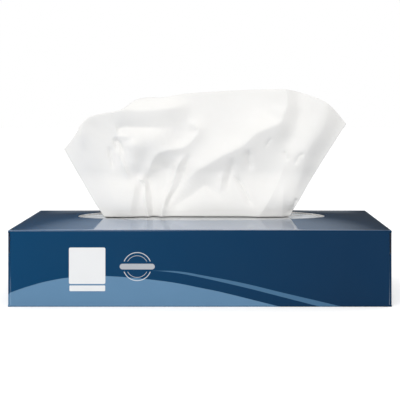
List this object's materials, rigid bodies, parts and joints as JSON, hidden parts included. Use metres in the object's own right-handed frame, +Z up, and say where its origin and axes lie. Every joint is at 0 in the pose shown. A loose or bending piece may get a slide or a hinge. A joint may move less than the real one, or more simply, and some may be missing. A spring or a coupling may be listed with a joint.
{
  "type": "tissue box",
  "caption": "Flat folded-board tissue box with an oval opening, a slit film under it and the first tissue fanned out above the slit.",
  "frame": {"origin": "centre of the carton's underside", "axes": "+X along the length, to the right seen from the front; +Y from the front panel to the back panel; +Z up"},
  "size_m": [0.23, 0.115, 0.1311],
  "materials": {
    "printed_board": "glossy varnished folding board, dark blue",
    "clear_film": "clear glossy film",
    "tissue_paper": "soft matt white tissue"
  },
  "bodies": {
    "root": {"carton": "printed_board", "slit_film": "clear_film", "tissue_stack": "tissue_paper", "raised_tissue": "tissue_paper"}
  },
  "joints": []
}
